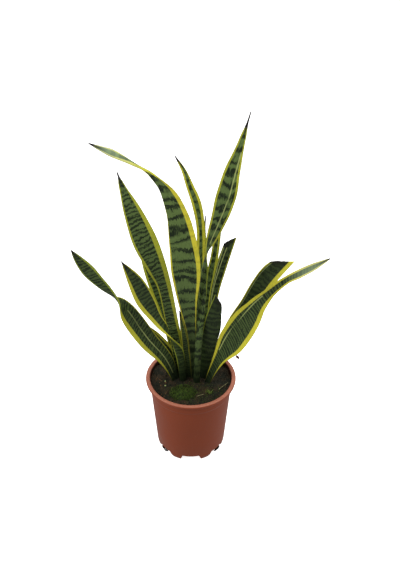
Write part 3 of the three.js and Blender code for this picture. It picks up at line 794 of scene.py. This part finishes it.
# %% [markdown]
# Peat that is damp right through is dull and swallows light. Crumbs of bark
# carry a share of brown with them, stored at their points. The grit is a little
# over a millimetre, the finest that still shows.

# %% Mix material: damp peat
peat, tree, shader = new_material("damp_peat_and_bark")
place = add_node(tree, "TexCoord", {}, "Object")
bark = add_node(tree, "Attribute", {}, "Fac", attribute_name="shade")
grit = add_node(tree, "TexNoise", {"Vector": place, "Scale": 700.0, "Detail": 3.0})
colour = linear("#070904")
for share, over in [(grit, "#1f2010"), (bark, "#6a4a2c")]:
    colour = add_node(tree, "Mix", {0: share, 6: colour, 7: linear(over)}, 2, data_type="RGBA")
grit_bump = add_node(tree, "Bump", {"Height": grit, "Strength": 0.6, "Distance": 0.0006})
set_inputs(tree, shader, {
    "Base Color": colour, "Normal": grit_bump, "Roughness": 0.85, "Specular IOR Level": 0.25,
})

# %% [markdown]
# A crumb is a ball of twenty flat faces knocked out of shape. All the crumbs of
# one heap are made at once and share one mesh.

# %% Crumbs
def chunks(centres, sizes, seed):
    """A twelve-cornered lump, twenty faces, at each centre: the corners of an
    icosahedron, each pushed in or out at random, turned and squashed."""
    rng = np.random.default_rng(seed)
    g = (1 + 5**0.5) / 2
    corners = np.array([
        [-1, g, 0], [1, g, 0], [-1, -g, 0], [1, -g, 0], [0, -1, g], [0, 1, g],
        [0, -1, -g], [0, 1, -g], [g, 0, -1], [g, 0, 1], [-g, 0, -1], [-g, 0, 1],
    ]) / 1.9
    sides = np.array([
        [0, 11, 5], [0, 5, 1], [0, 1, 7], [0, 7, 10], [0, 10, 11], [1, 5, 9], [5, 11, 4], [11, 10, 2],
        [10, 7, 6], [7, 1, 8], [3, 9, 4], [3, 4, 2], [3, 2, 6], [3, 6, 8], [3, 8, 9], [4, 9, 5],
        [2, 4, 11], [6, 2, 10], [8, 6, 7], [9, 8, 1],
    ])
    n = len(centres)
    lump = corners[None] * rng.uniform(0.6, 1.3, (n, 12, 1))
    turn = rng.uniform(0, 2 * np.pi, (n, 1))
    lump = lump * (rng.uniform(0.5, 1.0, (n, 1, 3)) * np.array([1.5, 0.8, 0.7]))
    x = lump[..., 0] * np.cos(turn) - lump[..., 1] * np.sin(turn)
    y = lump[..., 0] * np.sin(turn) + lump[..., 1] * np.cos(turn)
    points = np.stack([x, y, lump[..., 2]], -1) * sizes[:, None, None] + centres[:, None, :]
    faces = sides[None] + 12 * np.arange(n)[:, None, None]
    return points.reshape(-1, 3), faces.reshape(-1, 3)


# %% [markdown]
# The bed of peat goes down inside the wall to the pot's floor, so that nothing
# is hollow under its surface.

# %% Mix object
SIDE_RADII, SIDE_HEIGHTS = [75.4, 74.6, 64.6, 60.5], [148.0, 140.0, 26.5, 19.2]
reach = np.concatenate([np.linspace(1.5, 75.0, 70), [75.4], SIDE_RADII])[:, None]
spin = np.linspace(0, 2 * np.pi, 240, endpoint=False)[None, :]
mx, my = reach * np.sin(spin), -reach * np.cos(spin)
mz = mix_height(mx, my)
mz[-len(SIDE_HEIGHTS):] = np.array(SIDE_HEIGHTS)[:, None]
rows, columns = mz.shape
middle = mix_height(np.zeros(1), np.zeros(1))[0]
mix_points = np.stack([mx, my, mz], -1).reshape(-1, 3)
mix_points = np.vstack([mix_points, [0, 0, middle], [0, 0, SIDE_HEIGHTS[-1]]])
mix_faces = closed_faces(rows, columns, reverse=True)
mix_piece = add_piece("peat_bed", to_frame(mix_points), mix_faces, peat, ["potting_mix"])
tint = 0.25 * np.clip(value_noise(mx, my, 9, 9) + 0.2, 0, 1)
add_values(mix_piece, "shade", np.concatenate([tint.ravel(), [0, 0]]))

# %% Crumbs on the mix
CRUMBS = 2600
rng = np.random.default_rng(11)
far = 74 * np.sqrt(rng.random(CRUMBS))
way = rng.uniform(0, 2 * np.pi, CRUMBS)
cx, cy = far * np.sin(way), -far * np.cos(way)
size = 0.5 + 1.1 * rng.random(CRUMBS) ** 3
centres = np.stack([cx, cy, mix_height(cx, cy) + 0.2 * size], -1)
crumb_points, crumb_faces = chunks(centres, size, 12)
crumbs = add_piece("loose_crumbs", to_frame(crumb_points), [crumb_faces], peat)
is_bark = rng.random(CRUMBS) < 0.12 - cx / 600
brown = np.where(is_bark, rng.uniform(0.3, 1.0, CRUMBS), rng.uniform(0, 0.1, CRUMBS))
add_values(crumbs, "shade", np.repeat(brown, 12))
print("mix", rows * columns, "points and", CRUMBS, "crumbs")

# %% [markdown]
# Under the top of two of the slots hang black lumps. Each is a heap of the same
# crumbs, packed into a flat ellipsoid that hangs from the slot's edge.

# %% Lumps in the slots
LUMP_CRUMBS = 90
for name, node_name, turn, half_width in [
    ("slot_lump_left", "lump_left", -2 * np.pi / FEET, 10.0),
    ("slot_lump_right", "lump_right", 2 * np.pi / FEET, 8.0),
]:
    spot = rng.normal(0, 1, (LUMP_CRUMBS, 3))
    spot = spot / np.linalg.norm(spot, axis=1, keepdims=True) * rng.random((LUMP_CRUMBS, 1)) ** 0.4
    sideways, outwards, height = half_width * spot[:, 0], 64.4 + 2.6 * spot[:, 1], 10.6 + 3.4 * spot[:, 2]
    lump_x = outwards * np.sin(turn) + sideways * np.cos(turn)
    lump_y = -outwards * np.cos(turn) + sideways * np.sin(turn)
    centres, size = np.stack([lump_x, lump_y, height], -1), rng.uniform(0.8, 1.9, LUMP_CRUMBS)
    lump_points, lump_faces = chunks(centres, size, 14)
    lump = add_piece(name, to_frame(lump_points), [lump_faces], peat, [node_name])
    add_values(lump, "shade", np.zeros(12 * LUMP_CRUMBS))

# %% [markdown]
# ## Moss and seedlings
# A cushion of moss has settled in front of the leaves, and a weed or two has
# come up. Moss is a crowd of shoots a few millimetres long, each too thin to
# see, so the cushion is a low dome with hundreds of tapering three-sided
# blades on it. Each blade has only fourteen faces. Old shoots are dark and
# fresh tips light, so each point carries its share of the light green.

# %% Moss material
moss_green, tree, shader = new_material("moss_and_seedling_green")
place = add_node(tree, "TexCoord", {}, "Object")
clumps = add_node(tree, "TexNoise", {"Vector": place, "Scale": 260.0, "Detail": 2.0})
clumps = add_node(tree, "MapRange", {0: clumps, 1: 0.35, 2: 0.65}, interpolation_type="SMOOTHSTEP")
light_tips = add_node(tree, "Attribute", {}, "Fac", attribute_name="shade")
colour = linear("#131d08")
for share, over in [(clumps, "#3c5418"), (light_tips, "#7f9440")]:
    colour = add_node(tree, "Mix", {0: share, 6: colour, 7: linear(over)}, 2, data_type="RGBA")
set_inputs(tree, shader, {"Base Color": colour, "Roughness": 0.75, "Specular IOR Level": 0.2})


# %% Blades
BLADE_POINTS = 15


def sprigs(base, lean, length, width):
    """Tapering blades. Up a blade, the middle moves up by its share of the length
    and sideways by the lean times that share squared, and three corners round the
    middle draw in as one minus the share, to the power 0.7."""
    n = len(base)
    share = np.linspace(0, 1, 5)[None, :, None]
    up = np.array([0.0, 0.0, 1.0]) * length[:, None]
    middle = base[:, None, :] + up[:, None, :] * share + lean[:, None, :] * share**2
    turn = np.arctan2(lean[:, 1], lean[:, 0])[:, None] + np.array([0.5, 2.6, 4.7])[None, :] * np.pi / 3
    ring = np.stack([np.cos(turn), np.sin(turn), 0 * turn], -1)[:, None, :, :]
    size = width[:, None, None, None] / 2 * (1.02 - share[..., None]) ** 0.7
    points = middle[:, :, None, :] + ring * size
    around = grid_faces(5, 3)
    shift = BLADE_POINTS * np.arange(n)[:, None, None]
    caps = np.array([[2, 1, 0], [12, 13, 14]])
    faces = [(around[None] + shift).reshape(-1, 4), (caps[None] + shift).reshape(-1, 3)]
    return points.reshape(-1, 3), faces


def sow(name, base, lean, length, width, shade, replaces=()):
    """One piece of many blades. The shade holds one value for each point."""
    points, faces = sprigs(base, lean, length, width)
    piece = add_piece(name, to_frame(points), faces, moss_green, replaces)
    add_values(piece, "shade", shade)


def strewn(centre, spread, n, seed):
    """Places on the mix, thick in the middle of an ellipse and thin at its edge."""
    rng = np.random.default_rng(seed)
    far = rng.random(n) ** 0.6
    way = rng.uniform(0, 2 * np.pi, n)
    x = centre[0] + spread[0] * far * np.cos(way)
    y = centre[1] + spread[1] * far * np.sin(way)
    return np.stack([x, y, mix_height(x, y)], -1), far, rng


# %% [markdown]
# The cushion is a dome with a wobbly outline that follows the mix it sits on,
# closed underneath by a flat bottom inside the peat.

# %% Moss cushion
CUSHION, CUSHION_BOTTOM = (-15, -38), 153.0
dome_r = np.linspace(0.02, 1, 26)[:, None]
dome_t = np.linspace(0, 2 * np.pi, 72, endpoint=False)[None, :]
wobble = 1 + 0.16 * np.sin(3 * dome_t + 0.6) + 0.1 * np.sin(7 * dome_t + 2)
dome_x = CUSHION[0] + 21 * dome_r * np.cos(dome_t) * wobble
dome_y = CUSHION[1] + 17 * dome_r * np.sin(dome_t) * wobble
lift = 3.4 * (1 - dome_r**2) ** 0.7 * (1 + 0.5 * value_noise(dome_x, dome_y, 3.5, 21))
dome_z = mix_height(dome_x, dome_y) * 0.35 + 0.65 * 156.6 + lift - 0.8 * dome_r**6
dome = np.stack([dome_x, dome_y, dome_z], -1)
bottom = np.stack([dome_x[-1], dome_y[-1], np.full(dome_t.size, CUSHION_BOTTOM)], -1)
rows, columns = dome_z.shape
ends = [[*CUSHION, dome_z[0].mean() + 0.1], [*CUSHION, CUSHION_BOTTOM]]
dome_points = np.vstack([dome.reshape(-1, 3), bottom, ends])
dome_faces = closed_faces(rows + 1, columns)
cushion = add_piece("moss_cushion", to_frame(dome_points), dome_faces, moss_green, ["moss"])
add_values(cushion, "shade", np.zeros(len(dome_points)))

# %% [markdown]
# The shoots stand thick on the cushion and thin out over the mix, where a film
# of younger moss has spread. A few seedlings with longer blades stand beside it.

# %% Shoots
n = SHOOTS = 2200
base, far, rng = strewn(CUSHION, (25, 20), n, 31)
base[:, 2] += 3.2 * np.clip(1 - far**2, 0, 1) ** 0.7
lean = rng.normal(0, 1.3, (n, 3)) * np.array([1, 1, 0.2])
length, width = rng.uniform(1.6, 3.6, n), rng.uniform(0.4, 0.8, n)
up_blade = np.repeat(np.linspace(0.2, 1, 5), 3)
shade = np.repeat(rng.uniform(0, 0.7, n) ** 1.5, BLADE_POINTS) * np.tile(up_blade, n)
sow("moss_shoots", base, lean, length, width, shade)

base, far, rng = strewn((10, -38), (58, 28), 900, 32)
base = base[np.hypot(base[:, 0], base[:, 1]) < 72]
n = len(base)
lean = rng.normal(0, 1.2, (n, 3)) * np.array([1, 1, 0.2])
length, width = rng.uniform(0.8, 2.4, n), rng.uniform(0.4, 0.9, n)
sow("moss_film", base, lean, length, width, np.repeat(rng.uniform(0, 0.25, n), BLADE_POINTS))
print("moss shoots", SHOOTS + n)

# %% Seedlings
n = 16
base, far, rng = strewn((33, -38), (5, 6), n, 33)
base[:, 2] -= 0.6
lean = rng.normal(0, 3.4, (n, 3)) * np.array([1, 1, 0.1])
length, width = rng.uniform(4, 9, n), rng.uniform(1.2, 2.2, n)
shade = np.repeat(rng.uniform(0.3, 0.8, n), BLADE_POINTS)
sow("seedlings", base, lean, length, width, shade, ["seedling_tuft"])

# %% [markdown]
# ## Small pieces kept from the frame
# The frame's own shapes are good enough for the straws, the pale grains, the
# rhizome and the withered scrap. They keep their shape here and get a finish
# each. Straw is fibrous and dry, perlite is a foamed glass stained by algae,
# the rhizome has a papery skin and the scrap is dead leaf.

# %% Straw, grain, rhizome and scrap materials
def grainy(name, dark, light, scale, depth, roughness, stretch=(1, 1, 1)):
    """A rough natural skin: two colours mixed by a noise, which also makes the
    bumps. The scale is in features to the metre."""
    material, tree, shader = new_material(name)
    place = add_node(tree, "TexCoord", {}, "Object")
    place = add_node(tree, "VectorMath", {0: place, 1: stretch}, operation="MULTIPLY")
    speckle = add_node(tree, "TexNoise", {"Vector": place, "Scale": scale, "Detail": 3.0, "Roughness": 0.6})
    share = add_node(tree, "MapRange", {0: speckle, 1: 0.35, 2: 0.65}, interpolation_type="SMOOTHSTEP")
    colour = add_node(tree, "Mix", {0: share, 6: linear(dark), 7: linear(light)}, 2, data_type="RGBA")
    bump = add_node(tree, "Bump", {"Height": speckle, "Strength": 0.6, "Distance": depth})
    set_inputs(tree, shader, {"Base Color": colour, "Normal": bump, "Roughness": roughness})
    return material


FINISHES = {
    grainy("dry_straw", "#4c4a2c", "#8a8555", 900.0, 0.0002, 0.6): ["straw_long", "straw_short"],
    grainy("algae_stained_perlite", "#6d7a3c", "#a9b277", 700.0, 0.0004, 0.8): [
        "perlite_front", "perlite_back",
    ],
    grainy("rhizome_skin", "#6b5a32", "#a08a52", 160.0, 0.0008, 0.6, (1, 1, 3)): ["rhizome"],
    grainy("withered_leaf", "#2a1710", "#6a4030", 600.0, 0.0006, 0.7): ["withered_curl"],
}
for material, names in FINISHES.items():
    for name in names:
        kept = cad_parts[name]
        kept.data.materials.clear()
        kept.data.materials.append(material)
print("finishes for kept nodes", sum(len(names) for names in FINISHES.values()))

# %% [markdown]
# ## Floor, light and camera
# White paper under three soft lights, as in a small product studio: the
# strongest from the left, one from above and behind and a weaker one from the
# right. The paper glows a little, so that it stays white where they fall off.

# %% Stage
paper, tree, shader = new_material("white_paper")
set_inputs(tree, shader, {
    "Base Color": linear("#f4f4f2"), "Roughness": 0.9,
    "Emission Color": (1, 1, 1, 1), "Emission Strength": 0.85,
})
HALF_FLOOR = 25
floor_corners = [(x * HALF_FLOOR, y * HALF_FLOOR, 0) for x, y in [(-1, -1), (1, -1), (1, 1), (-1, 1)]]
floor_mesh = bpy.data.meshes.new("floor")
floor_mesh.from_pydata(floor_corners, [], [(0, 1, 2, 3)])
floor = bpy.data.objects.new("floor", floor_mesh)
floor_mesh.materials.append(paper)
bpy.context.scene.collection.objects.link(floor)
floor.visible_diffuse = False
floor.visible_glossy = False

# %% Lights
world = bpy.data.worlds.new("studio")
world.use_nodes = True
set_inputs(world.node_tree, world.node_tree.nodes["Background"], {"Color": (1, 1, 1, 1), "Strength": 0.5})
bpy.context.scene.world = world

AIM = np.array([0, 0, 0.3])
for light_name, spot, size_m, watts in [
    ("left", (-1.7, -0.8, 1.5), 1.3, 30),
    ("right", (1.8, -0.4, 1.3), 1.3, 20),
    ("above", (0.1, 0.4, 2.2), 1.4, 24),
]:
    lamp = bpy.data.lights.new(light_name, "AREA")
    lamp.shape, lamp.size, lamp.energy = "DISK", size_m, watts
    lamp_object = bpy.data.objects.new(light_name, lamp)
    x, y, z = np.array(spot) - AIM
    lamp_object.location = spot
    lamp_object.rotation_euler = (math.atan2(math.hypot(x, y), z), 0, math.atan2(x, -y))
    bpy.context.scene.collection.objects.link(lamp_object)

# %% [markdown]
# The camera stands in front of the plant and looks down on it at about 36
# degrees, through a normal 50 mm lens. The small shift centres the plant.

# %% Camera
lens = bpy.data.cameras.new("camera")
lens.lens = 50
lens.sensor_width = 36
lens.shift_x = 0.0161
camera = bpy.data.objects.new("camera", lens)
camera.location = to_frame([0, -1110.7, 1180.6])
camera.rotation_euler = (math.radians(54.1), 0, 0)
bpy.context.scene.collection.objects.link(camera)
bpy.context.scene.camera = camera
bpy.context.scene.view_settings.view_transform = "Standard"
